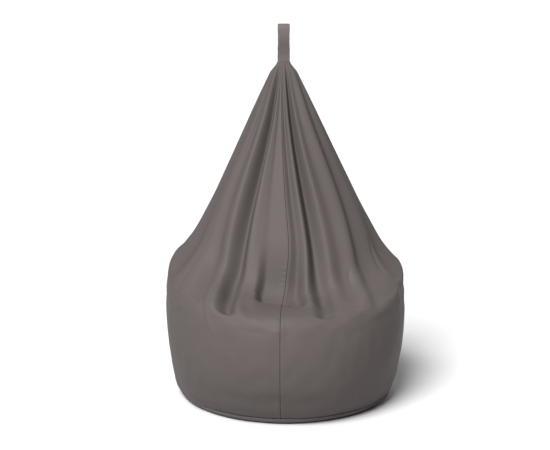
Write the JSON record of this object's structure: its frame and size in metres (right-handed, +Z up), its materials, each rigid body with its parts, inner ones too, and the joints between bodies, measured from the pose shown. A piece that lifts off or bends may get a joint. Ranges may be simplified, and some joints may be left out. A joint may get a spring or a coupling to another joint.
{
  "type": "bean bag chair",
  "caption": "Teardrop faux-leather bean bag chair with a strap handle at its apex, a zip in the back seam, an inner liner and a bead filling.",
  "frame": {"origin": "middle of the base panel's underside, where it rests on the floor", "axes": "+Z up, -Y towards the front, where the sitter's legs go, +X to the right of someone facing the chair"},
  "size_m": [0.65, 0.6897, 1.0135],
  "materials": {
    "cover": "satin",
    "base": "satin",
    "strap": "satin",
    "tape": "matte",
    "zip_teeth": "satin",
    "zip_metal": "satin",
    "liner": "matte",
    "beads": "matte",
    "label": "matte"
  },
  "bodies": {
    "bag": {"front_left_panel": "cover", "front_right_panel": "cover", "back_left_panel": "cover", "back_right_panel": "cover", "base_panel": "base", "handle_root": "strap", "zip_tape_left": "tape", "zip_tape_right": "tape", "zip_teeth_left": "zip_teeth", "zip_teeth_right": "zip_teeth", "zip_top_stop_left": "zip_metal", "zip_top_stop_right": "zip_metal", "zip_bottom_stop": "zip_metal", "zip_guard": "tape", "liner_front": "liner", "liner_back": "liner", "liner_base": "liner", "liner_tie": "tape", "bead_fill": "beads", "care_label": "label"},
    "handle": {"handle_loop": "strap"},
    "slider": {"zip_slider": "zip_metal"}
  },
  "joints": [
    {"name": "handle_bend", "type": "hinge", "parent": "bag", "child": "handle", "pos_m": [-0.005, 0.06, 0.9195], "axis": [1, 0, 0], "range_deg": [-105, 105], "stiffness_Nm_per_rad": 0.02},
    {"name": "zip_travel", "type": "hinge", "parent": "bag", "child": "slider", "pos_m": [0, -0.527, 0.247], "axis": [1, 0, 0], "range_deg": [-20.6, 0], "deforming": ["zip_teeth_left", "zip_teeth_right"]}
  ]
}
